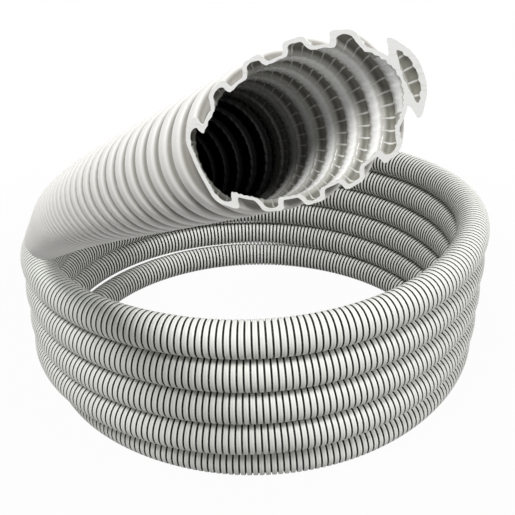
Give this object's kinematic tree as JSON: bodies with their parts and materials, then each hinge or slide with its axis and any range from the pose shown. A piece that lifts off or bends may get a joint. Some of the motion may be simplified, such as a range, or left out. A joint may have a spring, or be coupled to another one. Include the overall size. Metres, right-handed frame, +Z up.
{
  "type": "corrugated conduit",
  "caption": "Coil of flexible corrugated plastic conduit: turns stacked in a low ring, with the free end lifted off the top and cut open on a slant.",
  "frame": {"origin": "on the floor, on the axis of the coil's lowest level turn", "axes": "+Z up along the coil's axis, -Y towards the side where the free end lifts off, +Y along the longest extent"},
  "size_m": [0.3064, 0.4981, 0.2587],
  "materials": {
    "grey_plastic": "pale grey extruded plastic with a soft satin surface"
  },
  "bodies": {
    "root": {"conduit": "grey_plastic"}
  },
  "joints": []
}
